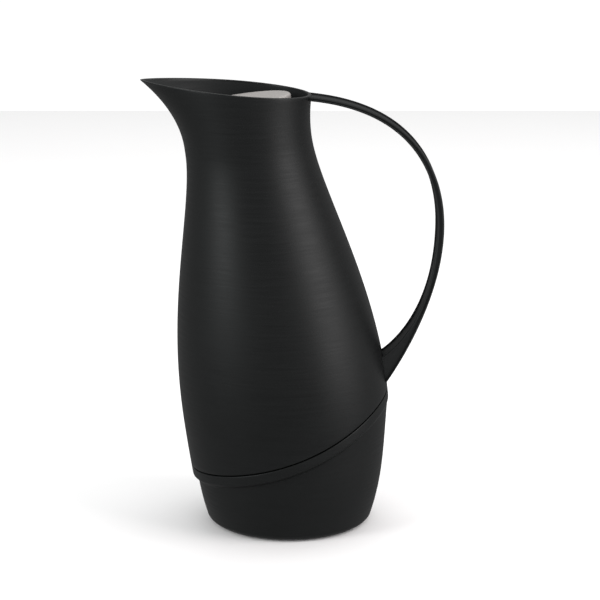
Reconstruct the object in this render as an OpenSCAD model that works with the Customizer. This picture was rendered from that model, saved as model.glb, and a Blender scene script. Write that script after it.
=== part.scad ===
// Thermal pouring jug: a leaning waisted shell with a pulled spout and a strap handle, over a base cup,
// a double-walled glass flask inside, and a pull-out stopper with a tip-to-open steel lid.
// Frame: millimetres, +Z up, origin on the table under the middle of the jug's length,
// handle towards +X. The sizes below are measured from the base cup's own axis.

/* [Shell] */
// Radius at the widest ring of the shell
belly_r = 67.5; // [56:0.5:81]
// Height of the widest ring
belly_z = 82.6; // [76:0.2:90]
// How long the side stays full above the widest ring
belly_full = 73; // [60:1:84]
// How long the side stays full below the widest ring
belly_under = 51; // [40:1:60]
// How far in the shell's line would be at the table
hem_in = 12.2; // [8:0.1:16]
// Radius of the neck
neck_r = 40.6; // [33.8:0.1:48.8]
// Drop from the rim to the neck's narrowest ring
neck_drop = 35.8; // [30:0.2:44]
// How long the neck stays narrow below its narrowest ring
neck_full = 32.7; // [24:0.1:44]
// Wall of the moulded shells
wall = 2.5; // [1.8:0.1:3]
// Lean of the shell's axis towards the spout, degrees
lean = 7.9; // [5:0.1:10]
// Height at which the axis starts to lean
lean_z = 64; // [56:1:72]
// Length over which the lean sets in
lean_soft = 10.7; // [8:0.1:14]

/* [Spout and rim] */
// Height of the rim over the lid's centre
rim_z = 284.3; // [236:0.1:342]
// Fall of the rim towards the handle, degrees
rim_fall = 5; // [3:0.1:6]
// How far the back of the rim is flared out, measured at the height of rim_z
back_out = 7; // [4:0.1:10]
// How far the spout is pulled out of the neck's circle
spout_out = 21.2; // [14:0.2:26]
// Drop from the rim to the height at which the spout starts
spout_drop = 32.3; // [24:0.1:40]
// Height over which the spout is pulled out
spout_h = 46; // [40:0.5:54]
// Exponent of the spout's plan at its tip, 2 is a plain oval
spout_point = 1.6; // [1.4:0.05:2]

/* [Seam and base] */
// Height of the seam over the base's centre
seam_mid = 55.7; // [50:0.1:60]
// Rise of the seam towards the handle
seam_slope = 0.344; // [0.28:0.002:0.42]
// Bend of the seam, per millimetre
seam_bend = 0.0021; // [0:0.0001:0.003]
// Further lift of the seam towards the handle, at 100 mm from the axis
seam_sweep = 13; // [0:1:18]
// Open groove at the seam
seam_gap = 0.9; // [0.6:0.1:1.4]
// Height of the raised band under the seam
band_h = 6; // [4:0.2:9]
// Height of the soft step under the band
band_soft = 3.5; // [2.5:0.1:5]
// How far the base cup's line is inside the belly at the table
cup_in0 = 15; // [12:0.1:18]
// How far the base cup's line is inside the belly at the top of the seam
cup_in1 = 2.5; // [1.5:0.1:4]
// Flare of the cup's side at the table
cup_flare = 0.375; // [0.25:0.005:0.45]
// Fillet at the cup's foot
foot_fillet = 6.5; // [5:0.1:8]
// Height of the cup's underside over the table
foot_gap = 0.6; // [0.4:0.1:1]
// Height of the joint spigot above the seam
spigot_h = 6; // [4:0.5:9]
// Wall of the joint spigot
spigot_wall = 2; // [1.4:0.1:2.4]
// Width of the foot ring's groove
foot_w = 5.4; // [4:0.1:6.4]

/* [Handle] */
// Width of the handle strap
strap_w = 22; // [18:1:26]
// Reach of the handle's outer edge past the belly's radius
grip_out = 31.7; // [26:0.1:38]
// Drop from the rim to that furthest point
grip_drop = 87.8; // [74:0.2:104]
// Thickness of the strap
strap_t = 4.5; // [3.4:0.1:6]
// Height over the seam where the handle's outer edge meets the shell
heel_up = 3.4; // [2:0.1:5]
// Height of the handle's foot on the shell
heel_h = 17.4; // [15:0.1:21]
// Spacing of the handle screws
screw_pitch = 11; // [9:0.5:13]
// Radius of the handle screws
screw_r = 1.45; // [1.2:0.05:1.7]

/* [Flask] */
// Space between the shell's wall and the flask at the belly
flask_gap = 13; // [11:0.5:16]
// Width of the flask's rolled lip
lip_w = 5.5; // [5.2:0.1:7]
// Thickness of the glass
glass = 1.4; // [1:0.1:1.8]
// Depth of the flask's mouth below the lid
mouth_depth = 27; // [22.5:0.5:32.5]
// Height of the flask's round bottom over the table
flask_floor = 17.2; // [16.5:0.1:22]

/* [Stopper and lid] */
// Drop from the rim to the lid's centre
lid_drop = 6.9; // [6.2:0.1:9.2]
// How far the steel lid is inside the neck
lid_in = 9.6; // [8.4:0.1:10.6]
// Thickness of the steel
steel = 0.8; // [0.5:0.1:1]
// Clearance between the stopper and the collar's bore
stopper_fit = 0.4; // [0.2:0.01:0.6]
// Gap left between faces that rest on each other
touch = 0.05; // [0.02:0.01:0.1]
// Radius of the hinge pin
pin_r = 1.2; // [1:0.05:1.3]
// Running clearance of the hinge pin
pin_fit = 0.05; // [0.02:0.01:0.1]
// Radius of the steel weight under the lid
weight_r = 7.5; // [6:0.1:8]

/* [Hidden] */
sides = 56;
angles = [for (j = [0 : sides - 1]) 360 * j / sides];
outer_rings = 26;
neck_rings = 4;
inner_rings = 12;
cup_rings = 5;
table_steps = 40;
strap_steps = 22;
shoulder_steps = 12;
fold = 200;
// Heights and radii that follow from the sizes above
hem_r = belly_r - hem_in;
neck_z = rim_z - neck_drop;
spout_z = rim_z - spout_drop;
lid_z = rim_z - lid_drop;
lid_r = neck_r - lid_in;
// Side line of the shell as pairs of height and radius: hem to belly, then belly to neck.
side_line = concat(
    [for (i = [0 : table_steps - 1])
        bez([0, hem_r], [0, hem_r], [belly_z - belly_under, belly_r], [belly_z, belly_r], i / table_steps)],
    [for (i = [0 : table_steps])
        bez([belly_z, belly_r], [belly_z + belly_full, belly_r],
            [neck_z - neck_full, neck_r], [neck_z, neck_r], i / table_steps)]);
// Fits between the fixed mouldings
joint_clear = 0.25;
lip_round = 0.6;
// Neck of the shell: a flange carries the collar above and presses the flask's seal below
flange_in = 10.6;
flange_t = 3;
flange_r = neck_r - flange_in;
seal_h = 3;
flange_bottom = mouth_depth - seal_h;
flange_top = flange_bottom - flange_t;
collar_in = 6;
collar_clear = 0.4;
collar_bore_r = lid_r - collar_in;
collar_r = neck_r - wall - collar_clear;
collar_lip = 1.2;
collar_shelf = 5;
collar_top = 8;
collar_seat = 11;
// Base cup: foot groove, sleeve for the bottom cap, and the fillet's centre
cup_top = 88;
cup_lift = 8.5;
cup_r0 = belly_r - cup_in0;
cup_r1 = belly_r - cup_in1;
groove_h = 1;
sleeve_wall = 2.5;
sleeve_h = 16;
floor_t = 3;
flare_angle = atan(cup_flare);
fillet_c = cup_r0 + (foot_gap + foot_fillet) * cup_flare - foot_fillet / cos(flare_angle);
foot_rim = 3;
sleeve_rim = 3.8;
cap_clear = 0.3;
cap_lift = 0.6;
cap_drop = 2;
cap_skirt = 2.7;
groove_out = fillet_c - foot_rim;
groove_in = groove_out - foot_w;
cap_bore_r = groove_in - sleeve_rim;
cap_r = cap_bore_r - cap_clear;
cap_low = foot_gap + cap_lift;
cap_floor = cap_low + floor_t;
cap_high = sleeve_h - cap_drop;
foot_clear = 0.2;
ring_low = 8;
ring_high = 10;
ring_deep = 0.9;
grip_slot = 0.95 * cap_r;
grip_slot_w = 5;
grip_slot_h = 1.2;
// Handle: where its root and its heel meet the shell, and the pull of its curves
rim_back_x = form(at_rim(0, 0, -lip_round), 0, 0)[0];
rim_back_z = rim_height(rim_back_x);
grip_x = belly_r + grip_out;
grip_z = rim_z - grip_drop;
seam_back = 1.5;
heel_z = seam_height(belly_r - seam_back) + heel_up;
crotch_z = heel_z + heel_h;
screw_drop = 6.3;
screw_z = crotch_z - screw_drop;
strap_sink = wall;
heel_fall = 1.45;
crotch_fall = 1.05;
heel_end = [back_x(0, heel_z, 0), heel_z] - strap_sink * [1, heel_fall];
crotch_end = [back_x(0, crotch_z, 0), crotch_z] - strap_sink * [1, crotch_fall];
strap_root = 3.1;
strap_fall = 5.5;
strap_edge = 0.9;
outer_out = 79;
outer_up = 22.7;
outer_down = 52.6;
inner_out = 75;
inner_up = 22.4;
inner_down = 65.4;
strap_shoulder = 3;
notch_w = strap_w - 2 * strap_shoulder;
notch_h = 2.2;
tongue_drop = 0.5;
screw_clear = 0.25;
screw_head_r = 3;
screw_head_h = 2;
screw_bite = 4;
screw_end_x = back_x(0, screw_z, screw_bite);
// Middle of the jug's length, between the spout's tip and the handle's furthest reach
tip_x = form(at_rim(180, 0, -lip_round), 180, 0)[0];
centre_x = (tip_x + grip_x) / 2;
// Flask: levels below the lid, and the evacuated space between its walls
vacuum = 3.8;
lip_h = 3;
neck_clear = 1.5;
neck_share = 0.172;
shoulder_share = 0.5725;
dome_share = 0.71;
lip_under = mouth_depth + lip_h;
flask_r = belly_r - wall - flask_gap;
flask_neck_r = flange_r - neck_clear;
mouth_r = flask_neck_r - lip_w;
flask_depth = (lid_z - flask_floor) / cos(lean);
neck_end = neck_share * flask_depth;
shoulder_end = shoulder_share * flask_depth;
shoulder_full = 0.59 * (shoulder_end - neck_end);
neck_straight = 0.16 * (shoulder_end - neck_end);
side_end = flask_depth - dome_share * flask_r;
inner_r = flask_r - glass - vacuum;
inner_depth = flask_depth - glass - vacuum;
tip_h = 6;
tip_end_r = 1.2;
tip_root_r = 3;
cushion_t = 2;
cradle_x = spine_x(lid_z) + flask_depth * sin(lean);
cradle_clear = 2.5;
cradle_r = cap_r - cap_skirt - abs(cradle_x) - cradle_clear;
cradle_h = 19;
cradle_rim = 4;
cushion_in = 8;
cushion_out = cradle_r - cradle_rim;
dome_steps = 6;
dome_clear = 0.1;
// Stopper and lid: levels below the top of the lid
stopper_wall = 2;
tube_in = 0.7;
bore_r = mouth_r - tube_in - stopper_wall;
stopper_in = 2.5;
stopper_r = lid_r - stopper_in;
stopper_top = 8.6;
stopper_reach = 7;
stopper_depth = mouth_depth + stopper_reach;
seal_up = 5;
seal_groove = 2;
seal_deep = 1.2;
seal_low = flange_bottom - seal_up;
seal_high = seal_low - seal_groove;
hinge_in = 3;
hinge_r = lid_r - hinge_in;
tube_step = 0.5;
hinge_depth = 6.9;
knuckle_r = 2.3;
knuckle_w = 14;
knuckle_gap = 0.3;
pin_press = 0.02;
lug_r = 2.1;
lug_gap = 0.4;
lug_y = knuckle_w / 2 + lug_gap;
lug_w = 3.5;
disc_edge = 1.5;
skirt_h = 3.6;
carrier_under = hinge_depth - knuckle_r;
boss_wall = 1.5;
weight_clear = 0.1;
weight_up = 1.5;
boss_r = weight_r + boss_wall;
boss_depth = 24;
weight_top = 7;

// ---- curves -------------------------------------------------------------------------------------
function mix(a, b, t) = a + (b - a) * t;
function soft(t) = t * t * (3 - 2 * t);
function bez(a, b, c, d, t) =
    pow(1 - t, 3) * a + 3 * pow(1 - t, 2) * t * b + 3 * (1 - t) * t * t * c + pow(t, 3) * d;

function body_r(z) = lookup(z, side_line);

// The axis: upright below, leaning above, with a smooth change between.
function spine_x(z) = -tan(lean) * lean_soft * ln(1 + exp((z - lean_z) / lean_soft));
function spine_tilt(z) = atan(tan(lean) / (1 + exp((lean_z - z) / lean_soft)));

// The spout: the front half of each ring is drawn out by a parabola and sharpened towards the tip.
// The back half is flared by a smaller parabola, from the neck's narrowest ring up.
function spout_pull(z) = spout_out * pow(max(0, (z - spout_z) / spout_h), 2);
function back_pull(z) = back_out * pow(max(0, (z - neck_z) / neck_drop), 2);
function ring_xy(z, a, inset) =
    let (r = body_r(z) - inset, b = spout_pull(z))
    let (n = mix(2, spout_point, min(1, b / spout_out)))
    cos(a) >= 0 ? [(r + back_pull(z)) * cos(a), r * sin(a)]
                : [-(r + b) * pow(-cos(a), 2 / n), r * sign(sin(a)) * pow(abs(sin(a)), 2 / n)];

// A point of the shell's form at axis height z and angle a, moved inwards by inset.
function form(z, a, inset) =
    let (p = ring_xy(z, a, inset), t = spine_tilt(z))
    [spine_x(z) + p[0] * cos(t), p[1], z + p[0] * sin(t)];

// The seam is a bent line in side view; the rim is a plane that falls towards the handle.
function seam_height(x) = seam_mid + seam_slope * x + seam_bend * x * x + seam_sweep * pow(x / 100, 3);
function rim_height(x) = rim_z - tan(rim_fall) * (x - spine_x(lid_z));

// Axis height at which the form crosses the seam or the rim.
function at_seam(a, inset, up, z = seam_mid, turns = 8) =
    turns == 0 ? z
               : let (p = form(z, a, inset))
                 at_seam(a, inset, up, z + seam_height(p[0]) + up - p[2], turns - 1);
function at_rim(a, inset, up, z = rim_z, turns = 8) =
    turns == 0 ? z
               : let (p = form(z, a, inset))
                 at_rim(a, inset, up, z + rim_height(p[0]) + up - p[2], turns - 1);
function seam_line(inset, up) = [for (a = angles) at_seam(a, inset, up)];
function rim_line(inset, up) = [for (a = angles) at_rim(a, inset, up)];
function level(z) = [for (a = angles) z];

// The ring of the form that runs along a line of heights, and a line part of the way between two.
function form_ring(line, inset) = [for (j = [0 : sides - 1]) form(line[j], angles[j], inset)];
function between(low, high, t) = [for (j = [0 : sides - 1]) mix(low[j], high[j], t)];
function seam_ring(inset, up) = form_ring(seam_line(inset, up), inset);
function rim_ring(inset, up) = form_ring(rim_line(inset, up), inset);
// A round ring square to the leaning axis, and one that lies flat.
function lean_ring(z, r) =
    [for (a = angles) [spine_x(z) + r * cos(a) * cos(spine_tilt(z)), r * sin(a),
                       z + r * cos(a) * sin(spine_tilt(z))]];
function flat_ring(z, r) = [for (a = angles) [r * cos(a), r * sin(a), z]];

// Radius of the base cup: a smooth curve with its own flare at the table.
function cup_r(z) =
    let (t = z / cup_top)
    (2 * pow(t, 3) - 3 * t * t + 1) * cup_r0 + (pow(t, 3) - 2 * t * t + t) * cup_top * cup_flare
    + (3 * t * t - 2 * pow(t, 3)) * cup_r1 + (pow(t, 3) - t * t) * cup_lift;
function cup_ring(line, inset) =
    [for (j = [0 : sides - 1])
        let (r = cup_r(line[j]) - inset) [r * cos(angles[j]), r * sin(angles[j]), line[j]]];

// ---- meshes of rings ----------------------------------------------------------------------------
function strip(low, high, n) =
    [for (j = [0 : n - 1]) let (k = (j + 1) % n) each
        [[low + j, high + j, high + k], [low + j, high + k, low + k]]];

// Rings that follow one another round the wall of a hollow piece, back to the first.
module ring_loop(rings) {
    n = len(rings[0]);
    m = len(rings);
    polyhedron(points = [for (r = rings) each r],
               faces = [for (i = [0 : m - 1]) each strip(i * n, (i + 1) % m * n, n)],
               convexity = 8);
}

// Rings along a solid bar, closed at both ends with triangles to the middle.
module ring_bar(rings) {
    n = len(rings[0]);
    m = len(rings);
    first = m * n;
    last = first + 1;
    polyhedron(points = concat([for (r = rings) each r], [middle(rings[0]), middle(rings[m - 1])]),
               faces = concat([for (j = [0 : n - 1]) [first, j, (j + 1) % n]],
                              [for (i = [0 : m - 2]) each strip(i * n, (i + 1) * n, n)],
                              [for (j = [0 : n - 1]) [last, (m - 1) * n + (j + 1) % n, (m - 1) * n + j]]),
               convexity = 6);
}
function middle(ring) = [for (k = [0 : 2]) ([for (p = ring) 1] * [for (p = ring) p[k]]) / len(ring)];

// Moves the jug so that the origin lies on the table under the middle of its length.
module centred() {
    translate([-centre_x, 0, 0]) children();
}

// Places children on the leaning axis with the top of the lid at z = 0.
module on_axis() {
    translate([spine_x(lid_z), 0, lid_z]) rotate([0, -lean, 0]) children();
}
// Axis height of a level that lies this deep below the lid.
function axis_z(depth) = lid_z - depth * cos(lean);

// A round piece on the leaning axis, and one on the upright axis, from the half section.
module turned(points) {
    on_axis() rotate_extrude($fn = fold) polygon(points);
}
module upright(points) {
    rotate_extrude($fn = fold) polygon(points);
}
function rect(r0, r1, z0, z1) = [[r0, z0], [r1, z0], [r1, z1], [r0, z1]];
function back(list) = [for (i = [len(list) - 1 : -1 : 0]) list[i]];

// ---- outer shell --------------------------------------------------------------------------------
module screw_places() {
    for (y = [-screw_pitch / 2, screw_pitch / 2]) translate([0, y, screw_z]) rotate([0, 90, 0]) children();
}

module outer_shell() {
    seam_out = seam_line(0, 0);
    seam_in = seam_line(wall, 0);
    rim_out = rim_line(0, -lip_round);
    rim_in = rim_line(wall, -lip_round);
    shelf = level(axis_z(flange_top));
    under = level(axis_z(flange_bottom));
    color("#24262a") centred()
    difference() {
        ring_loop(concat(
            [for (i = [0 : outer_rings]) form_ring(between(seam_out, rim_out, i / outer_rings), 0)],
            [rim_ring(lip_round, 0), rim_ring(wall - lip_round, 0)],
            [for (i = [0 : neck_rings]) form_ring(between(rim_in, shelf, i / neck_rings), wall)],
            [lean_ring(axis_z(flange_top), flange_r), lean_ring(axis_z(flange_bottom), flange_r)],
            [for (i = [0 : inner_rings]) form_ring(between(under, seam_in, i / inner_rings), wall)]));
        translate([rim_back_x - 2 * wall, -notch_w / 2 - joint_clear, rim_back_z - notch_h - joint_clear])
            cube([4 * wall, notch_w + 2 * joint_clear, 10]);
        screw_places() translate([0, 0, belly_r / 2])
            cylinder(h = belly_r, r = screw_r + screw_clear, $fn = 32);
    }
}

// ---- base cup -----------------------------------------------------------------------------------
// The band under the seam follows the shell's form; t takes it over to the cup's own line.
function band_ring(drop, t) =
    [for (a = angles)
        let (p = form(at_seam(a, 0, -seam_gap - drop), a, 0), r = cup_r(p[2]))
        mix(p, [r * cos(a), r * sin(a), p[2]], t)];

module base_shell() {
    cup_line = [for (p = band_ring(band_h + band_soft, 1)) p[2]];
    foot_line = level(foot_gap + foot_fillet * (1 - sin(flare_angle)));
    floor_z = foot_gap + floor_t;
    inner_line = level(foot_gap + foot_fillet + floor_t / 2);
    spigot_in = wall + joint_clear + spigot_wall;
    color("#24262a") centred()
    ring_loop(back(concat(
        [seam_ring(spigot_in, spigot_h), seam_ring(wall + joint_clear, spigot_h),
         seam_ring(wall + joint_clear, -seam_gap), seam_ring(0, -seam_gap), band_ring(band_h / 2, 0)],
        [for (i = [0 : 4]) band_ring(band_h + band_soft * i / 4, soft(i / 4))],
        [for (i = [1 : cup_rings]) cup_ring(between(cup_line, foot_line, i / cup_rings), 0)],
        [for (i = [1 : 4])
            let (f = mix(-flare_angle, -90, i / 4))
            flat_ring(foot_gap + foot_fillet * (1 + sin(f)), fillet_c + foot_fillet * cos(f))],
        [flat_ring(foot_gap, groove_out), flat_ring(foot_gap + groove_h, groove_out),
         flat_ring(foot_gap + groove_h, groove_in), flat_ring(foot_gap, groove_in),
         flat_ring(foot_gap, cap_bore_r), flat_ring(sleeve_h, cap_bore_r),
         flat_ring(sleeve_h, cap_bore_r + sleeve_wall), flat_ring(floor_z, cap_bore_r + sleeve_wall),
         flat_ring(floor_z, fillet_c)],
        [for (i = [0 : cup_rings]) cup_ring(between(inner_line, cup_line, i / cup_rings), wall)],
        [seam_ring(spigot_in, -seam_gap)])));
}

module foot_ring() {
    color("#18191b") centred()
    upright(rect(groove_in + foot_clear, groove_out - foot_clear, 0, foot_gap + groove_h));
}

module bottom_cap() {
    color("#24262a") centred()
    difference() {
        upright([[0, cap_low], [cap_r, cap_low], [cap_r, ring_low], [cap_r - ring_deep, ring_low],
                 [cap_r - ring_deep, ring_high], [cap_r, ring_high], [cap_r, cap_high],
                 [cap_r - cap_skirt, cap_high], [cap_r - cap_skirt, cap_floor], [0, cap_floor]]);
        translate([-grip_slot / 2, -grip_slot_w / 2, cap_low - 1])
            cube([grip_slot, grip_slot_w, 1 + grip_slot_h]);
    }
}

module cap_seal() {
    color("#5b5e61") centred()
    upright(rect(cap_r - ring_deep + touch, cap_bore_r - touch, ring_low + touch, ring_high - touch));
}

// ---- handle -------------------------------------------------------------------------------------
// Back of the shell at a distance y to the side and a height z, moved outwards by out.
function back_x(y, z, out) =
    let (t = spine_tilt(z), rough = sqrt(pow(body_r(z) + out, 2) - y * y))
    let (h = z - rough * sin(t))
    let (near = sqrt(pow(body_r(h) + out, 2) - y * y))
    spine_x(h) + near * cos(t);

// Side view of one edge of the strap: over the top to the furthest reach, then down to the shell.
function edge(root, reach, end, out_len, up_len, down_len, t) =
    t < 1
    ? bez(root, root + out_len * [cos(strap_fall), -sin(strap_fall)], reach + [0, up_len], reach, t)
    : bez(reach, reach - [0, down_len], end, end, t - 1);
function outer_edge(t) =
    edge([rim_back_x - strap_sink, rim_back_z], [grip_x, grip_z], heel_end,
         outer_out, outer_up, outer_down, t);
function inner_edge(t) =
    edge([rim_back_x - strap_sink, rim_back_z - strap_root], [grip_x - strap_t, grip_z], crotch_end,
         inner_out, inner_up, inner_down, t);

// Cross-section: a flat bar with rounded corners between the two edges, as side and share of depth.
function strap_ring(t) =
    let (o = outer_edge(t), i = inner_edge(t), deep = norm(i - o))
    [for (s = [[1, 0], [-1, 0], [-1, 1], [1, 1]]) each
        let (turn = s[0] * (1 - 2 * s[1]))
        [for (k = [0 : 2])
            let (f = turn > 0 ? 90 - 45 * k : 45 * k)
            let (y = s[0] * (strap_w / 2 - strap_edge * (1 - sin(f))))
            let (d = strap_edge * (1 - cos(f)), share = (s[1] == 0 ? d : deep - d) / deep)
            [mix(o[0], i[0], share), y, mix(o[1], i[1], share)]]];
// The shell's own form with the gap added, which the ends of the strap are cut to.
module shell_form() {
    low = seam_line(0, 0);
    high = rim_line(0, -lip_round);
    ring_bar(concat([for (i = [0 : outer_rings]) form_ring(between(low, high, i / outer_rings), -touch)],
                    [form_ring(rim_line(0, 2 * strap_root), -touch)]));
}

module handle_strap() {
    color("#24262a") centred()
    difference() {
        union() {
            difference() {
                ring_bar([for (i = [0 : 2 * strap_steps]) strap_ring(i / strap_steps)]);
                shell_form();
            }
            translate([rim_back_x - wall + touch, -notch_w / 2, rim_back_z - notch_h])
                cube([wall + 4, notch_w, notch_h - tongue_drop]);
        }
        screw_places() cylinder(h = screw_end_x + 1, r = screw_r + touch, $fn = 32);
    }
}

module handle_screws() {
    head_x = back_x(screw_pitch / 2 + screw_head_r, screw_z + screw_head_r, -wall) - touch;
    color("silver") centred()
    screw_places() {
        translate([0, 0, head_x - screw_head_h]) cylinder(h = screw_head_h, r = screw_head_r, $fn = 48);
        translate([0, 0, head_x - 0.5]) cylinder(h = screw_end_x - head_x, r = screw_r, $fn = 32);
    }
}

// ---- flask --------------------------------------------------------------------------------------
// Half outline of a bottle: neck, shoulder, straight side and round bottom, from the neck down.
function bottle(neck, side, depth) = concat(
    [for (i = [0 : shoulder_steps])
        bez([neck, -neck_end], [neck, -neck_end - neck_straight],
            [side, -shoulder_end + shoulder_full], [side, -shoulder_end], i / shoulder_steps)],
    [for (f = [0 : 10 : 90]) [side * cos(f), -side_end - (depth - side_end) * sin(f)]]);

module flask_outer() {
    color("silver") centred()
    union() {
        turned(concat([[flask_neck_r, -lip_under]], bottle(flask_neck_r, flask_r, flask_depth),
                      back(bottle(flask_neck_r - glass, flask_r - glass, flask_depth - glass)),
                      [[flask_neck_r - glass, -lip_under]]));
        on_axis() translate([0, 0, -flask_depth - tip_h])
            cylinder(h = tip_h + 0.5, r1 = tip_end_r, r2 = tip_root_r, $fn = 32);
    }
}

module flask_inner() {
    color("silver") centred()
    turned(concat([[mouth_r, -mouth_depth], [flask_neck_r, -mouth_depth],
                   [flask_neck_r, touch - lip_under], [mouth_r + glass, touch - lip_under]],
                  bottle(mouth_r + glass, inner_r, inner_depth),
                  back(bottle(mouth_r, inner_r - glass, inner_depth - glass))));
}

module flask_spacers() {
    color("wheat") centred()
    on_axis()
        for (a = [60 : 120 : 300]) rotate([0, 0, a]) translate([inner_r + 0.2, 0, -shoulder_end - 10])
            rotate([0, 90, 0]) cylinder(h = vacuum - 0.5, r = 4.5, $fn = 48);
}

module flask_seal() {
    color("#5b5e61") centred()
    turned(rect(mouth_r + 1, flange_r + 1, touch - mouth_depth, -flange_bottom - touch));
}

// The dome under the flask, taken down by drop, as depth at a radius.
function dome(r, drop) = -side_end - (flask_depth - side_end) * sqrt(1 - pow(r / flask_r, 2)) - drop;

module flask_cushion() {
    radii = [for (i = [0 : dome_steps]) mix(cushion_in, cushion_out, i / dome_steps)];
    color("#5b5e61") centred()
    turned(concat([for (r = radii) [r, dome(r, dome_clear)]],
                  [for (r = back(radii)) [r, dome(r, cushion_t - dome_clear)]]));
}

module flask_cradle() {
    color("#3a3d40") centred()
    difference() {
        translate([cradle_x, 0, cap_floor + touch]) cylinder(h = cradle_h, r = cradle_r, $fn = fold);
        turned(concat([[0, dome(0, cushion_t)]],
                      [for (i = [0 : dome_steps]) let (r = mix(cushion_in, cushion_out, i / dome_steps))
                          [r, dome(r, cushion_t)]],
                      [for (f = [0.8 : 0.04 : 0.96]) [f * flask_r, dome(f * flask_r, cushion_t)]],
                      [[flask_r, 0], [0, 0]]));
        on_axis() translate([0, 0, -flask_depth - 40]) cylinder(h = 60, r = 6, $fn = 64);
    }
}

// ---- neck ---------------------------------------------------------------------------------------
module neck_collar() {
    color("#2b2d31") centred()
    turned([[collar_bore_r, -flange_bottom], [flange_r - 0.5, -flange_bottom],
            [flange_r - 0.5, touch - flange_top], [collar_r, touch - flange_top],
            [collar_r, -collar_top - 0.5], [collar_r - collar_lip, -collar_top],
            [collar_r - collar_shelf, -collar_seat], [collar_bore_r, -collar_seat]]);
}

// ---- stopper ------------------------------------------------------------------------------------
module pin_bore(r) {
    translate([hinge_r, 0, -hinge_depth]) rotate([90, 0, 0])
        cylinder(h = 4 * knuckle_w, r = r, center = true, $fn = 48);
}

module stopper_body() {
    tube_r = collar_bore_r - stopper_fit;
    color("#2b2d31") centred()
    difference() {
        union() {
            turned([[bore_r, -stopper_depth], [mouth_r - tube_in, -stopper_depth],
                    [mouth_r - tube_in, tube_step - flange_bottom], [tube_r, tube_step - flange_bottom],
                    [tube_r, -seal_low], [tube_r - seal_deep, -seal_low], [tube_r - seal_deep, -seal_high],
                    [tube_r, -seal_high], [tube_r, touch - collar_seat],
                    [stopper_r, touch - collar_seat], [stopper_r, -stopper_top], [bore_r, -stopper_top]]);
            on_axis()
                for (y = [-lug_y - lug_w, lug_y]) {
                    translate([hinge_r, y, -hinge_depth]) rotate([-90, 0, 0])
                        cylinder(h = lug_w, r = lug_r, $fn = 48);
                    translate([hinge_r - lug_r, y, touch - collar_seat])
                        cube([2 * lug_r, lug_w, collar_seat - touch - hinge_depth]);
                }
        }
        on_axis() {
            translate([hinge_r - knuckle_r - lug_gap, -knuckle_w / 2 - knuckle_gap,
                       -hinge_depth - knuckle_r - lug_gap])
                cube([20, knuckle_w + 2 * knuckle_gap, 20]);
            pin_bore(pin_r + pin_press);
        }
    }
}

module stopper_seal() {
    color("#5b5e61") centred()
    turned(rect(collar_bore_r - stopper_fit - seal_deep + touch, collar_bore_r - 2 * touch,
                touch - seal_low, -seal_high - touch));
}

module hinge_pin() {
    color("silver") centred()
    on_axis() translate([hinge_r, 0, -hinge_depth]) rotate([90, 0, 0])
        cylinder(h = 2 * (lug_y + lug_w) - 0.4, r = pin_r, center = true, $fn = 48);
}

// ---- lid ----------------------------------------------------------------------------------------
module lid_disc() {
    r = lid_r - disc_edge;
    color("#a9a7a3") centred()
    turned(concat([[0, 0]],
                  [for (f = [90 : -15 : 0]) [r + disc_edge * cos(f), disc_edge * (sin(f) - 1)]],
                  [[lid_r, -skirt_h], [lid_r - steel, -skirt_h]],
                  [for (f = [0 : 15 : 90]) [r + (disc_edge - steel) * cos(f),
                                            (disc_edge - steel) * sin(f) - disc_edge]],
                  [[0, -steel]]));
}

module lid_carrier() {
    carrier_r = lid_r - steel - weight_clear;
    color("#1f2124") centred()
    difference() {
        union() {
            turned([[0, -steel - touch], [carrier_r - disc_edge, -steel - touch],
                    [carrier_r, -steel - disc_edge], [carrier_r, -carrier_under],
                    [boss_r, -carrier_under], [boss_r, -boss_depth],
                    [weight_r + weight_clear, -boss_depth], [weight_r + weight_clear, -weight_top],
                    [0, -weight_top]]);
            on_axis() {
                translate([hinge_r, 0, -hinge_depth]) rotate([90, 0, 0])
                    cylinder(h = knuckle_w, r = knuckle_r, center = true, $fn = 48);
                translate([hinge_r - knuckle_r, -knuckle_w / 2, -hinge_depth])
                    cube([2 * knuckle_r, knuckle_w, hinge_depth - carrier_under + 0.5]);
            }
        }
        on_axis() pin_bore(pin_r + pin_fit);
    }
}

module lid_seal() {
    color("#5b5e61") centred()
    turned(rect(bore_r - 1.5, hinge_r - knuckle_r - 1.3, touch - stopper_top, -carrier_under - touch));
}

module lid_weight() {
    color("silver") centred() turned(rect(0, weight_r, weight_up - boss_depth, -weight_top - touch));
}

outer_shell();
base_shell();
handle_strap();
handle_screws();
flask_inner();
flask_outer();
flask_spacers();
flask_seal();
flask_cushion();
flask_cradle();
neck_collar();
bottom_cap();
cap_seal();
foot_ring();
stopper_body();
stopper_seal();
hinge_pin();
lid_carrier();
lid_disc();
lid_seal();
lid_weight();
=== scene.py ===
"""Looks of a thermal pouring jug.

Satin black shell and base cup, a strap handle, and a brushed steel lid that tips open.
"""

import logging
import math
from dataclasses import dataclass
from enum import Enum
from typing import Callable, Sequence

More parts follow.
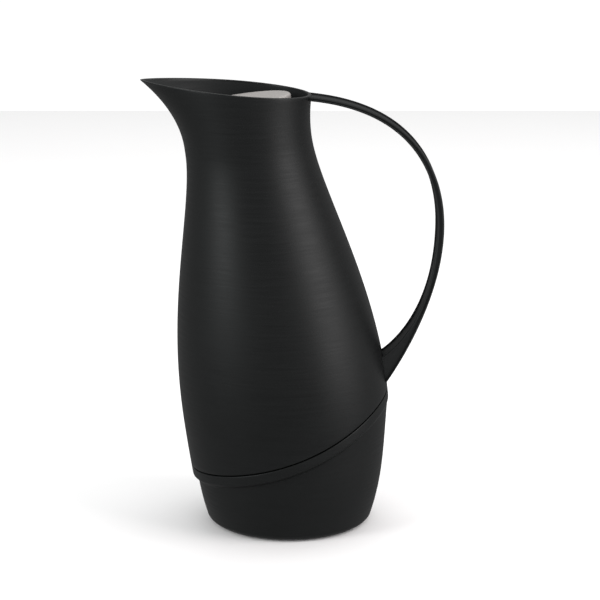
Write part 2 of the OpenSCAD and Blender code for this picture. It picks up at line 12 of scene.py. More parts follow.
import bpy
import numpy as np
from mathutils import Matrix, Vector


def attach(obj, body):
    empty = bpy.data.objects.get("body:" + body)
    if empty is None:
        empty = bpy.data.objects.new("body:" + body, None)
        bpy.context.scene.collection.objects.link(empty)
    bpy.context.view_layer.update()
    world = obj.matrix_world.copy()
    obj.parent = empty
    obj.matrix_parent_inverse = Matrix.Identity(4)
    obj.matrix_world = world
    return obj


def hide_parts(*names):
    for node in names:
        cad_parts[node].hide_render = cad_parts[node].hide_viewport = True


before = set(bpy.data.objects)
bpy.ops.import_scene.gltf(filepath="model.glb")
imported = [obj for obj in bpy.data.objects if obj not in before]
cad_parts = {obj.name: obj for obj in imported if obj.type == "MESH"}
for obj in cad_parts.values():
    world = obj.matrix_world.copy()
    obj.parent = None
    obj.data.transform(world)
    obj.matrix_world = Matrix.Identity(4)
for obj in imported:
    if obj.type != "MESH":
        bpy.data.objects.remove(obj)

log = logging.getLogger("jug")

MM = 0.001
Colour = tuple[float, float, float]
Line = Callable[[np.ndarray], np.ndarray]


# ---- shader maths --------------------------------------------------------------------------------
class Value:
    """A socket in a material's tree. Arithmetic on it adds Math nodes."""

    def __init__(self, recipe: "Recipe", socket: bpy.types.NodeSocket) -> None:
        """Keeps the recipe that the socket belongs to."""
        self.recipe = recipe
        self.socket = socket

    def _maths(self, operation: str, *inputs: "Value | float", clamp: bool = False) -> "Value":
        """Adds one Math node.

        Args:
            operation: Blender's name of the operation.
            inputs: Its operands, in order.
            clamp: Whether the result is held between 0 and 1.

        Returns:
            The result's value.
        """
        return self.recipe.node("ShaderNodeMath", {"operation": operation, "use_clamp": clamp},
                                dict(enumerate(inputs)))

    def __add__(self, other: "Value | float") -> "Value":
        """self + other."""
        return self._maths("ADD", self, other)

    def __radd__(self, other: float) -> "Value":
        """other + self."""
        return self._maths("ADD", other, self)

    def __sub__(self, other: "Value | float") -> "Value":
        """self - other."""
        return self._maths("SUBTRACT", self, other)

    def __mul__(self, other: "Value | float") -> "Value":
        """self * other."""
        return self._maths("MULTIPLY", self, other)

    def held(self) -> "Value":
        """self, held between 0 and 1."""
        return self._maths("ADD", self, 0.0, clamp=True)


class Recipe:
    """One material's node tree, from its texture coordinates to its Principled shader."""

    def __init__(self, name: str) -> None:
        """Makes the material with a Principled shader and its output.

        Args:
            name: The material's name.
        """
        self.material = bpy.data.materials.new(name)
        self.material.use_nodes = True
        self.tree = self.material.node_tree
        self.shader = self.tree.nodes["Principled BSDF"]

    def node(self, kind: str, settings: dict | None = None, inputs: dict | None = None,
             output: int | str = 0) -> Value:
        """Adds one node.

        Args:
            kind: The node's type.
            settings: Properties that are set before its sockets.
            inputs: Values or links by socket name or place.
            output: The output that is wanted, by name or place.

        Returns:
            The value of that output.
        """
        made = self.tree.nodes.new(kind)
        for key, setting in (settings or {}).items():
            setattr(made, key, setting)
        for key, value in (inputs or {}).items():
            self.feed(made.inputs[key], value)
        return Value(self, made.outputs[output])

    def feed(self, socket: bpy.types.NodeSocket, value: "Value | float | Sequence[float]") -> None:
        """Links a value to a socket, or sets the socket's own value.

        Args:
            socket: The socket.
            value: A link, a number, a vector or a colour.
        """
        if isinstance(value, Value):
            self.tree.links.new(value.socket, socket)
        elif isinstance(value, (int, float)) or len(value) != 3 or socket.type != "RGBA":
            socket.default_value = value
        else:
            socket.default_value = (*value, 1.0)

    def place(self, scale: Sequence[float], turn_y: float = 0.0) -> Value:
        """Object coordinates in metres, turned about Y and scaled.

        Args:
            scale: Cells per metre along X, Y and Z.
            turn_y: Turn about Y in degrees, taken before the scale.

        Returns:
            The vector.
        """
        here = self.node("ShaderNodeTexCoord", output="Object")
        if turn_y:
            here = self.node("ShaderNodeVectorRotate", {"rotation_type": "Y_AXIS"},
                             {"Vector": here, "Angle": math.radians(turn_y)})
        return self.node("ShaderNodeMapping", None, {"Vector": here, "Scale": tuple(scale)})

    def noise(self, scale: Sequence[float] | float, detail: float, rough: float,
              turn_y: float = 0.0) -> Value:
        """Cloudy noise from 0 to 1.

        Args:
            scale: Cells per metre, one number or one for each axis.
            detail: Octaves.
            rough: Share that each octave keeps.
            turn_y: Turn of the pattern about Y, in degrees.

        Returns:
            The noise's value.
        """
        each = (scale,) * 3 if isinstance(scale, (int, float)) else scale
        return self.node("ShaderNodeTexNoise", None,
                         {"Vector": self.place(each, turn_y), "Scale": 1.0, "Detail": detail,
                          "Roughness": rough})

    def flakes(self, scale: float) -> Value:
        """Distance to the nearest of scattered points, which makes a pebbled surface."""
        return self.node("ShaderNodeTexVoronoi", None,
                         {"Vector": self.place((scale,) * 3), "Scale": 1.0})

    def spread(self, value: Value, low: float, high: float) -> Value:
        """Stretches the part of a value from low to high over 0 to 1, and holds it there."""
        return self.node("ShaderNodeMapRange", {"clamp": True},
                         {"Value": value, "From Min": low, "From Max": high})

    def attribute(self, name: str) -> Value:
        """The piece's own number of that name, 0 where it has none."""
        return self.node("ShaderNodeAttribute", {"attribute_name": name}, output="Fac")

    def mix(self, share: Value | float, first: "Value | Colour", second: "Value | Colour") -> Value:
        """A colour part of the way from the first to the second."""
        return self.node("ShaderNodeMix", {"data_type": "RGBA"}, {0: share, 6: first, 7: second},
                         output=2)

    def bump(self, height: Value, depth_mm: float) -> None:
        """Feeds the shader's normal from a height.

        Args:
            height: The height, from 0 to 1.
            depth_mm: Depth of the relief.
        """
        normal = self.node("ShaderNodeBump", None,
                           {"Height": height, "Distance": depth_mm * MM, "Strength": 1.0})
        self.set(Normal=normal)

    def set(self, **sockets: "Value | float | Sequence[float]") -> None:
        """Sets the Principled shader's sockets; an underscore in a name stands for a space."""
        for name, value in sockets.items():
            self.feed(self.shader.inputs[name.replace("_", " ")], value)


# ---- finishes ------------------------------------------------------------------------------------
@dataclass(frozen=True)
class Finish:
    """What a surface is made of. Each finish makes its own material.

    Attributes:
        name: The material's name, which is the record's slot where there is one.
        colour: The body colour.
        rough: The mean roughness.
    """

    name: str
    colour: Colour
    rough: float

    def material(self) -> bpy.types.Material:
        """The finish's material, made once.

        Returns:
            The material.
        """
        found = bpy.data.materials.get(f"{self.name}_finish")
        if found:
            return found
        recipe = Recipe(f"{self.name}_finish")
        self.dress(recipe)
        return recipe.material

    def dress(self, recipe: Recipe) -> None:
        """Builds the nodes.

        Args:
            recipe: The material's tree.
        """
        raise NotImplementedError

    def shade(self, share: float) -> Colour:
        """The body colour times a number."""
        return tuple(min(1.0, c * share) for c in self.colour)


@dataclass(frozen=True)
class SatinMoulding(Finish):
    """Satin black plastic: a fine grain that runs round the body, a pebbled mould texture, and edges
    that handling has polished.

    Attributes:
        grain: Strength of the round-the-body grain.
        gloss: Specular level.
        relief_mm: Depth of the mould texture.
        grain_cells: Cells of the grain per metre along X, Y and Z.
        cloud_cells, pebble_cells: Cells per metre of the slow clouds and of the mould texture.
        low, high: The part of the noise that is stretched over the whole tone.
        dark, light: Shades of the body colour that the tone runs between.
        inner_painted_light: Shade of the body colour on the marked inner faces, a painted light that
            lifts the shaded inside of the mouth.
        tint: Tint of the gloss.
    """

    grain: float = 0.5
    gloss: float = 0.3
    relief_mm: float = 0.012
    grain_cells: tuple[float, float, float] = (34, 34, 760)
    cloud_cells: float = 14
    pebble_cells: float = 1700
    low: float = 0.3
    high: float = 0.7
    dark: float = 0.82
    light: float = 1.55
    # Lift of the body colour on the inner faces: painted light in the shaded mouth, not dust.
    inner_painted_light: float = 2.6
    tint: tuple[float, float, float, float] = (0.96, 1.0, 1.0, 1.0)

    def dress(self, recipe: Recipe) -> None:
        """Grain, clouds and pebbles to colour, roughness and bump.

        Args:
            recipe: The material's tree.
        """
        grain = recipe.noise(self.grain_cells, detail=4.0, rough=0.68)
        cloud = recipe.noise(self.cloud_cells, detail=3.0, rough=0.55)
        pebble = recipe.flakes(self.pebble_cells)
        edge = recipe.attribute("edge")
        inner = recipe.attribute("inner")
        tone = (recipe.spread(grain, self.low, self.high) * (0.9 * self.grain)
                + recipe.spread(cloud, self.low, self.high) * 0.35 + edge * 0.3).held()
        body = recipe.mix(tone, self.shade(self.dark), self.shade(self.light))
        recipe.set(
            # On the marked inner faces the body colour is lifted as painted light in the shaded mouth;
            # the added roughness there is the matt inner moulding.
            Base_Color=recipe.mix(inner, body, self.shade(self.inner_painted_light)),
            Roughness=(self.rough + (grain - 0.5) * (0.5 * self.grain) + (cloud - 0.5) * 0.12
                       - edge * 0.08 + inner * 0.2).held(),
            Specular_IOR_Level=self.gloss, Specular_Tint=self.tint, IOR=1.5)
        recipe.bump(grain * (2.2 * self.grain) + pebble * 0.3, self.relief_mm)


@dataclass(frozen=True)
class BrushedSteel(Finish):
    """Stainless steel with straight brush lines along the length, faint smears and fine scratches.

    Attributes:
        turn_y: Tilt of the brushed face about Y, in degrees.
        lines: Brush lines per metre.
        metal: How metallic it looks under its film of lacquer.
        dark, light: Shades of the body colour that the tone runs between.
    """

    turn_y: float
    metal: float
    lines: float = 2600.0
    dark: float = 0.72
    light: float = 1.24

    def dress(self, recipe: Recipe) -> None:
        """Brush lines and smears to colour, roughness and bump.

        Args:
            recipe: The material's tree.
        """
        brush = recipe.noise((38, self.lines, 60), detail=3.0, rough=0.65, turn_y=self.turn_y)
        broad = recipe.noise((9, 210, 9), detail=2.0, rough=0.5, turn_y=self.turn_y)
        smear = recipe.noise(42, detail=3.0, rough=0.6)
        tone = (recipe.spread(brush, low=0.25, high=0.75) * 0.55 + broad * 0.45).held()
        recipe.set(
            Base_Color=recipe.mix(tone, self.shade(self.dark), self.shade(self.light)),
            Roughness=(self.rough + (brush - 0.5) * 0.2 + (smear - 0.5) * 0.16).held(),
            Metallic=self.metal)
        recipe.bump(brush * 0.8 + broad * 0.4, depth_mm=0.01)


@dataclass(frozen=True)
class TurnedSteel(Finish):
    """Plain turned steel with a satin skin and small stains."""

    def dress(self, recipe: Recipe) -> None:
        """Fine noise and stains to colour, roughness and bump.

        Args:
            recipe: The material's tree.
        """
        skin = recipe.noise(1300, detail=2.0, rough=0.5)
        stain = recipe.noise(160, detail=3.0, rough=0.6)
        stained = recipe.spread(stain, low=0.35, high=0.75)
        recipe.set(Base_Color=recipe.mix(stained, self.colour, self.shade(0.72)),
                   Roughness=(self.rough + (skin - 0.5) * 0.2 + (stain - 0.5) * 0.15).held(),
                   Metallic=1.0)
        recipe.bump(skin, depth_mm=0.006)


@dataclass(frozen=True)
class Silicone(Finish):
    """Matt silicone or rubber with a fine bloom and dust in patches.

    Attributes:
        sheen: Weight of the soft bloom.
    """

    sheen: float = 0.15

    def dress(self, recipe: Recipe) -> None:
        """Bloom and fine grain to colour, roughness and bump.

        Args:
            recipe: The material's tree.
        """
        bloom = recipe.noise(70, detail=4.0, rough=0.6)
        grit = recipe.noise(2100, detail=2.0, rough=0.5)
        bloomed = recipe.spread(bloom, low=0.4, high=0.75)
        recipe.set(Base_Color=recipe.mix(bloomed, self.shade(0.9), self.shade(1.35)),
                   Roughness=(self.rough + (bloom - 0.5) * 0.2 + (grit - 0.5) * 0.1).held(),
                   Sheen_Weight=self.sheen, Specular_IOR_Level=0.35)
        recipe.bump(grit, depth_mm=0.02)


@dataclass(frozen=True)
class SilveredGlass(Finish):
    """Blown glass silvered on its far side: a mirror with slow ripples, tea-coloured film and droplets.

    Attributes:
        film: Colour of the film that drink leaves.
    """

    film: Colour = (0.55, 0.42, 0.28)

    def dress(self, recipe: Recipe) -> None:
        """Ripples to bump, and the film to colour and roughness.

        Args:
            recipe: The material's tree.
        """
        ripple = recipe.noise((30, 30, 12), detail=2.0, rough=0.4)
        film = recipe.spread(recipe.noise(26, detail=4.0, rough=0.6), low=0.55, high=0.8)
        recipe.set(Base_Color=recipe.mix(film * 0.35, self.colour, self.film),
                   Roughness=(self.rough + film * 0.12).held(), Metallic=1.0, Coat_Weight=1.0,
                   Coat_Roughness=0.02)
        recipe.bump(ripple, depth_mm=0.25)


@dataclass(frozen=True)
class Felt(Finish):
    """Pressed fibre: short crossed fibres in two directions."""

    def dress(self, recipe: Recipe) -> None:
        """Crossed fibre noise to colour, roughness and bump.

        Args:
            recipe: The material's tree.
        """
        one = recipe.noise((400, 3000, 400), detail=3.0, rough=0.6)
        other = recipe.noise((3000, 400, 900), detail=3.0, rough=0.6)
        fibre = (one * 0.5 + other * 0.5).held()
        matted = recipe.spread(fibre, low=0.35, high=0.65)
        recipe.set(Base_Color=recipe.mix(matted, self.shade(0.7), self.shade(1.15)),
                   Roughness=(self.rough + (fibre - 0.5) * 0.1).held(), Sheen_Weight=0.4)
        recipe.bump(fibre, depth_mm=0.08)


@dataclass(frozen=True)
class StudioFloor(Finish):
    """Pale matt sweep with a barely visible mottle."""

    def dress(self, recipe: Recipe) -> None:
        """A slow mottle to colour.

        Args:
            recipe: The material's tree.
        """
        mottle = recipe.noise(3.0, detail=2.0, rough=0.5)
        recipe.set(Base_Color=recipe.mix(mottle, self.shade(0.99), self.shade(1.01)),
                   Roughness=self.rough, Specular_IOR_Level=0.2)


class Finishes(Enum):
    """The finishes of the jug, by the record's material slot."""

    SHELL = SatinMoulding("shell_black", (0.0038, 0.0042, 0.0043), 0.48, relief_mm=0.05)
    BASE = SatinMoulding("base_black", (0.0042, 0.0046, 0.0047), 0.49, relief_mm=0.05)
    HANDLE = SatinMoulding("handle_black", (0.0165, 0.0176, 0.0178), 0.58, grain=0.15, gloss=0.16)
    COLLAR = SatinMoulding("collar_black", (0.012, 0.012, 0.013), 0.5, grain=0.0, relief_mm=0.02)
    CAP = SatinMoulding("cap_black", (0.011, 0.011, 0.012), 0.55, grain=0.0, relief_mm=0.03)
    STOPPER = SatinMoulding("stopper_black", (0.014, 0.014, 0.015), 0.48, grain=0.0, relief_mm=0.02)
    CARRIER = SatinMoulding("carrier_black", (0.012, 0.012, 0.013), 0.46, grain=0.0, relief_mm=0.02)
    INNER = SatinMoulding("inner_plastic", (0.05, 0.052, 0.056), 0.55, grain=0.0, relief_mm=0.04)
    LID = BrushedSteel("lid_steel", (0.455, 0.437, 0.42), 0.5, turn_y=7.9, metal=0.5)
    WEIGHT = TurnedSteel("weight_steel", (0.55, 0.55, 0.54), 0.3)
    PIN = TurnedSteel("pin_steel", (0.6, 0.6, 0.6), 0.25)
    SCREW = TurnedSteel("screw_steel", (0.55, 0.56, 0.57), 0.35)
    SEAL = Silicone("seal_rubber", (0.19, 0.195, 0.2), 0.55)
    FOOT = Silicone("foot_rubber", (0.022, 0.022, 0.023), 0.7)
    FLASK = SilveredGlass("flask_glass", (0.88, 0.88, 0.87), 0.03)
    SILVER = SilveredGlass("flask_silver", (0.86, 0.86, 0.85), 0.04)
    FELT = Felt("spacer_felt", (0.62, 0.55, 0.42), 0.9)


NODE_FINISH: dict[str, Finishes] = {
    "outer_shell": Finishes.SHELL, "base_shell": Finishes.BASE, "handle_strap": Finishes.HANDLE,
    "handle_screws": Finishes.SCREW, "flask_inner": Finishes.FLASK, "flask_outer": Finishes.SILVER,
    "flask_spacers": Finishes.FELT, "flask_seal": Finishes.SEAL, "flask_cushion": Finishes.SEAL,
    "flask_cradle": Finishes.INNER, "neck_collar": Finishes.COLLAR, "bottom_cap": Finishes.CAP,
    "cap_seal": Finishes.SEAL, "foot_ring": Finishes.FOOT, "stopper_body": Finishes.STOPPER,
    "stopper_seal": Finishes.SEAL, "hinge_pin": Finishes.PIN, "lid_carrier": Finishes.CARRIER,
    "lid_disc": Finishes.LID, "lid_seal": Finishes.SEAL, "lid_weight": Finishes.WEIGHT}


# ---- meshes --------------------------------------------------------------------------------------
def bezier(a: np.ndarray, b: np.ndarray, c: np.ndarray, d: np.ndarray, t: np.ndarray) -> np.ndarray:
    """Cubic Bezier from a to d, pulled by b and c.

    Args:
        a, b, c, d: Points of k numbers.
        t: Parameters from 0 to 1, n of them.

    Returns:
        n by k points: (1-t)^3 a + 3 (1-t)^2 t b + 3 (1-t) t^2 c + t^3 d.
    """
    t = t[:, None]
    return ((1 - t) ** 3 * a + 3 * (1 - t) ** 2 * t * b + 3 * (1 - t) * t ** 2 * c + t ** 3 * d)


def skin(name: str, rings: np.ndarray, joined: bool, finish: Finishes, body: str,
         sharp: float = 38.0, **marks: np.ndarray) -> bpy.types.Object:
    """Skins closed rings of points that follow one another.

    Args:
        name: The piece's name.
        rings: m rings of n points in millimetres from the base's own axis.
        joined: Whether the last ring joins the first; otherwise each end is closed to its middle.
        finish: The piece's finish.
        body: The CAD body that it rides on.
        sharp: Angle in degrees over which an edge is shaded sharp.
        marks: By name, numbers from 0 to 1 for each ring or each point, which the finish reads.

    Returns:
        The piece, with its place in its mesh.
    """
    m, n, _ = rings.shape
    points = rings.reshape(-1, 3)
    row, col = np.meshgrid(np.arange(m if joined else m - 1), np.arange(n), indexing="ij")
    low, high, after = row * n, (row + 1) % m * n, (col + 1) % n
    quads = np.stack([low + col, low + after, high + after, high + col], -1).reshape(-1, 4)
    faces = quads.tolist()
    if not joined:
        around = np.arange(n)
        for ring, turn in ((0, 1), (m - 1, -1)):
            pole = len(points)
            points = np.vstack([points, rings[ring].mean(0)])
            fan = np.stack([np.full(n, pole), ring * n + (around + 1) % n, ring * n + around], -1)
            faces += fan[:, ::turn].tolist()
    corner = points[np.array([f[:3] for f in faces])]
    inward = np.einsum("ij,ij->i", corner[:, 0], np.cross(corner[:, 1], corner[:, 2])).sum() < 0
    if inward:
        faces = [f[::-1] for f in faces]
    mesh = bpy.data.meshes.new(name)
    mesh.from_pydata((to_frame(points)).tolist(), [], faces)
    mesh.polygons.foreach_set("use_smooth", np.ones(len(faces), bool))
    mesh.set_sharp_from_angle(angle=math.radians(sharp))
    for mark, numbers in marks.items():
        spread = np.zeros(len(points), np.float32)
        spread[:m * n] = np.broadcast_to(np.asarray(numbers, np.float32).reshape(m, -1), (m, n)).ravel()
        mesh.attributes.new(mark, "FLOAT", "POINT").data.foreach_set("value", spread)
    mesh.materials.append(finish.value.material())
    mesh.update()
    made = bpy.data.objects.new(name, mesh)
    bpy.context.scene.collection.objects.link(made)
    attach(made, body)
    log.info("%s: %d rings of %d points, %d faces", name, m, n, len(faces))
    return made


def to_frame(points: np.ndarray) -> np.ndarray:
    """Points in millimetres from the base's own axis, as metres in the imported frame."""
    return (points - np.array([CENTRE_X, 0.0, 0.0])) * MM


def between(low: np.ndarray, high: np.ndarray, shares: np.ndarray) -> np.ndarray:
    """Lines of heights part of the way from one line to another, one for each share."""
    return low[None, :] + (high - low)[None, :] * shares[:, None]


def quarter_round(steps: int) -> tuple[np.ndarray, np.ndarray]:
    """A quarter circle of radius 1 that rounds an edge.

    Args:
        steps: How many points it has.

    Returns:
        How far its points stand in from the side, 1 - cos, and down from the top, 1 - sin.
    """
    turn = np.linspace(0, 1, steps) * np.pi / 2
    return 1 - np.cos(turn), 1 - np.sin(turn)


def soft(t: np.ndarray) -> np.ndarray:
    """Smooth step: 3 t^2 - 2 t^3."""
    return t * t * (3 - 2 * t)


# ---- the form ------------------------------------------------------------------------------------
@dataclass(frozen=True)
class JugForm:
    """The jug's outer form, in millimetres from the base's own axis, as the design states it.

    Attributes:
        belly_r, belly_z: Radius and height of the fullest ring.
        belly_full, belly_under: Lengths of the side curve's pulls above and below that ring.
        hem_r: Radius that the shell's line would have at the table.
        neck_r, neck_z: Radius and height of the narrowest ring.
        neck_full: Length of the side curve's pull below that ring.
        wall: Thickness of the shell and of the base cup.
        lean, lean_z, lean_soft: Lean of the upper axis in degrees, where it starts, and its softness.
        rim_z, rim_fall: Height of the rim at the axis, and its fall towards the handle in degrees.
        spout_out, spout_z, spout_h: How far the spout is drawn out, where it starts, and its height.
        spout_point: Exponent of the front half at the spout's tip; 2 is round and less is pointed.
        seam_mid, seam_slope, seam_bend: Height, slope and bend of the seam at the middle.
        seam_sweep: Extra rise of the seam at 100 mm towards the handle.
        back_out: How far the back of the mouth flares at the rim.
        lid_z: Axis height of the top of the lid.
        sides, turned_sides: Points on a ring of the form, and of a turned piece.
        table_steps, corrections: Steps of the side curve's table, and of the search for a line.
    """

    belly_r: float = 67.5
    belly_z: float = 82.6
    belly_full: float = 73.0
    belly_under: float = 51.0
    hem_r: float = 55.3
    neck_r: float = 40.6
    neck_z: float = 248.5
    neck_full: float = 32.7
    wall: float = 2.5
    lean: float = 7.9
    lean_z: float = 64.0
    lean_soft: float = 10.7
    rim_z: float = 284.3
    rim_fall: float = 5.0
    spout_out: float = 21.2
    spout_z: float = 252.0
    spout_h: float = 46.0
    spout_point: float = 1.6
    seam_mid: float = 55.7
    seam_slope: float = 0.344
    seam_bend: float = 0.0021
    seam_sweep: float = 13.0
    back_out: float = 7.0
    lid_z: float = 277.4
    sides: int = 256
    turned_sides: int = 192
    table_steps: int = 400
    corrections: int = 40

    @property
    def angles(self) -> np.ndarray:
        """Angles round the axis, 0 at the handle and pi at the spout."""
        return np.arange(self.sides) * 2 * np.pi / self.sides

    def side_radius(self, z: np.ndarray) -> np.ndarray:
        """Radius of the form: two Bezier curves, hem to belly and belly to neck, upright at the belly
        and the neck, and the neck's radius above.

        Args:
            z: Axis heights.

        Returns:
            One radius for each height.
        """
        t = np.linspace(0, 1, self.table_steps)
        hem = np.array([0.0, self.hem_r])
        belly, neck = np.array([self.belly_z, self.belly_r]), np.array([self.neck_z, self.neck_r])
        lower = bezier(hem, hem, belly - [self.belly_under, 0], belly, t)
        upper = bezier(belly, belly + [self.belly_full, 0], neck - [self.neck_full, 0], neck, t)
        table = np.vstack([lower, upper[1:]])
        return np.interp(z, table[:, 0], table[:, 1])

    def spine_x(self, z: np.ndarray | float) -> np.ndarray:
        """The axis: upright below, leaning above, as a softened ramp: s ln(1 + e^((z - z0)/s))."""
        ramp = np.log1p(np.exp((np.asarray(z, float) - self.lean_z) / self.lean_soft))
        return -math.tan(math.radians(self.lean)) * self.lean_soft * ramp

    def spine_tilt(self, z: np.ndarray) -> np.ndarray:
        """The axis's lean at a height, in radians: the slope of that ramp."""
        full = math.tan(math.radians(self.lean))
        return np.arctan(full / (1 + np.exp((self.lean_z - z) / self.lean_soft)))

    def point(self, z: np.ndarray, angle: np.ndarray, inset: float | np.ndarray) -> np.ndarray:
        """A point of the form at an axis height and angle, moved inwards by inset.

        The back half of each ring is a circle, flared by a small parabola of the height above the
        neck's narrowest ring. The front half is a superellipse drawn out by a parabola of the
        height, with an exponent that falls from 2 as the spout is drawn out. Each ring is square
        to the axis.

        Args:
            z: Axis heights.
            angle: Angles round the axis.
            inset: Distance inside the outer form.

        Returns:
            Points, with the last axis X, Y and Z.
        """
        r = self.side_radius(z) - inset
        pull = self.spout_out * np.maximum(0, (z - self.spout_z) / self.spout_h) ** 2
        power = 2 / (2 + (self.spout_point - 2) * np.minimum(1, pull / self.spout_out))
        flare = self.back_out * (np.maximum(0, z - self.neck_z) / (self.rim_z - self.neck_z)) ** 2
        cos, sin = np.cos(angle), np.sin(angle)
        front = cos < 0
        out = np.where(front, -(r + pull) * np.abs(cos) ** power, (r + flare) * cos)
        across = r * np.where(front, np.sign(sin) * np.abs(sin) ** power, sin)
        tilt = self.spine_tilt(z)
        return np.stack([self.spine_x(z) + out * np.cos(tilt), across, z + out * np.sin(tilt)], -1)

    def seam_height(self, x: np.ndarray) -> np.ndarray:
        """The seam in side view: a cubic of X, so that its bend grows towards the handle."""
        return (self.seam_mid + self.seam_slope * x + self.seam_bend * x * x
                + self.seam_sweep * (x / 100) ** 3)

    def rim_height(self, x: np.ndarray) -> np.ndarray:
        """The rim in side view: a straight fall towards the handle."""
        return self.rim_z - math.tan(math.radians(self.rim_fall)) * (x - self.spine_x(self.lid_z))

    def along(self, line: Line, inset: float, up: float, start: float) -> np.ndarray:
        """Axis heights at which the form meets a line of side view, found by repeated correction.

        Args:
            line: Height of the line at a place X.
            inset: Distance inside the outer form.
            up: Height over the line.
            start: Height to start from.

        Returns:
            One axis height for each angle.
        """
        z = np.full(self.sides, start)
        for _ in range(self.corrections):
            p = self.point(z, self.angles, inset)
            z = z + line(p[:, 0]) + up - p[:, 2]
        return z

    def seam(self, inset: float, up: float) -> np.ndarray:
        """Axis heights along the seam."""
        return self.along(self.seam_height, inset, up, start=60.0)

    def rim(self, inset: float, up: float) -> np.ndarray:
        """Axis heights along the rim."""
        return self.along(self.rim_height, inset, up, start=285.0)

    def rings(self, lines: np.ndarray, inset: float | np.ndarray) -> np.ndarray:
        """Rings of the form along lines of heights, each with its own inset.

        Args:
            lines: One axis height for each angle, for one ring or several.
            inset: Distance inside the outer form, one number or one for each ring.

        Returns:
            The rings' points.
        """
        lines = np.atleast_2d(lines)
        deep = np.broadcast_to(np.asarray(inset, float).reshape(-1, 1), lines.shape)
        return self.point(lines, np.broadcast_to(self.angles, lines.shape), deep)

    def axis_ring(self, z: float, r: float) -> np.ndarray:
        """A circle square to the leaning axis.

        Args:
            z: Axis height.
            r: Radius.

        Returns:
            One ring of points.
        """
        tilt = self.spine_tilt(np.array(z))
        out = r * np.cos(self.angles)
        return np.stack([self.spine_x(z) + out * np.cos(tilt), r * np.sin(self.angles),
                         z + out * np.sin(tilt)], -1)[None]

    def turned(self, profile: Sequence[Sequence[float]]) -> np.ndarray:
        """Turns a profile about the leaning axis, with the top of the lid at height 0.

        Args:
            profile: Radius and height pairs in millimetres.

        Returns:
            One ring for each pair.
        """
        r, h = np.asarray(profile, float).T[:, :, None]
        angle = np.arange(self.turned_sides) * 2 * np.pi / self.turned_sides
        out, lean = r * np.cos(angle), math.radians(self.lean)
        return np.stack([self.spine_x(self.lid_z) + out * math.cos(lean) - h * math.sin(lean),
                         r * np.sin(angle),
                         self.lid_z + out * math.sin(lean) + h * math.cos(lean)], -1)

    def axis_z(self, depth: float) -> float:
        """Axis height of a level this deep below the lid."""
        return self.lid_z - depth * math.cos(math.radians(self.lean))

    def back_x(self, y: np.ndarray, z: np.ndarray, out: float) -> np.ndarray:
        """The back of the shell, found from the height at which a ring's own tilt brings it to z.

        Args:
            y: Distance to the side.
            z: Height above the table.
            out: Distance outside the shell.

        Returns:
            The X of the shell's back there.
        """
        tilt = self.spine_tilt(z)
        rough = np.sqrt((self.side_radius(z) + out) ** 2 - y * y)
        h = z - rough * np.sin(tilt)
        return self.spine_x(h) + np.sqrt((self.side_radius(h) + out) ** 2 - y * y) * np.cos(tilt)


FORM = JugForm()
GRIP_X = 99.2
LIP_ROUND = 0.6
CENTRE_X = float(FORM.point(FORM.rim(0, -LIP_ROUND)[FORM.sides // 2], np.pi, 0)[0] + GRIP_X) / 2


# ---- sub-assemblies ------------------------------------------------------------------------------
@dataclass
class Shell:
    """The outer shell: one moulding from the seam to the rim, with the flange that holds the flask.

    Attributes:
        flange_r: Radius of the flange's bore.
        flange_top, flange_bottom: Depths of the flange below the lid.
        edge_round: Rounding at the seam.
        hem_wear, lip_wear: How handled the edge at the seam and the rim are.
        arc_steps: Points on each rounded edge.
        side_rings, throat_rings, inside_rings: Rings on the outside, the mouth and the inside.
        form: The jug's outer form.
    """

    flange_r: float = 30.0
    flange_top: float = 21.0
    flange_bottom: float = 24.0
    edge_round: float = 0.45
    hem_wear: float = 0.8
    lip_wear: float = 1.0
    arc_steps: int = 7
    side_rings: int = 110
    throat_rings: int = 26
    inside_rings: int = 40
    form: JugForm = FORM

    def build(self) -> bpy.types.Object:
        """Skins the outside, the rounded rim, the neck, the flange and the inside.

        Returns:
            The shell.
        """
        f, wall, e = self.form, self.form.wall, self.edge_round
        arc_in, arc_up = quarter_round(self.arc_steps)
        hem = [f.rings(f.seam(e * i, e * u), e * i) for i, u in zip(arc_in[::-1], arc_up[::-1])]
        side = f.rings(between(f.seam(0, e), f.rim(0, -LIP_ROUND),
                               np.linspace(0, 1, self.side_rings)[1:-1]), 0)
        lip = [f.rings(f.rim(LIP_ROUND * i, -LIP_ROUND * u), LIP_ROUND * i)
               for i, u in zip(arc_in, arc_up)]
        lip += [f.rings(f.rim(wall - LIP_ROUND * i, -LIP_ROUND * u), wall - LIP_ROUND * i)
                for i, u in zip(arc_in[::-1], arc_up[::-1])]
        shelf = np.full(f.sides, f.axis_z(self.flange_top))
        under = np.full(f.sides, f.axis_z(self.flange_bottom))
        throat = f.rings(between(f.rim(wall, -LIP_ROUND), shelf,
                                 np.linspace(0, 1, self.throat_rings)[1:]), wall)
        inside = f.rings(between(under, f.seam(wall, 0), np.linspace(0, 1, self.inside_rings)), wall)
        flange = [f.axis_ring(f.axis_z(self.flange_top), self.flange_r),
                  f.axis_ring(f.axis_z(self.flange_bottom), self.flange_r)]
        rings = np.vstack([*hem, side, *lip, throat, *flange, inside])
        lip_from = len(hem) + len(side)
        lip_to = lip_from + len(lip)
        edge, inner = np.zeros(len(rings)), np.zeros(len(rings))
        edge[:len(hem)] = self.hem_wear
        edge[lip_from:lip_to] = self.lip_wear
        # The inner mark makes the inside rougher and lifts its colour as painted light in the shaded
        # mouth.
        inner[lip_to:] = 1.0
        made = skin("shell_skin", rings, True, Finishes.SHELL, "jug", edge=edge, inner=inner)
        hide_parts("outer_shell")
        return made


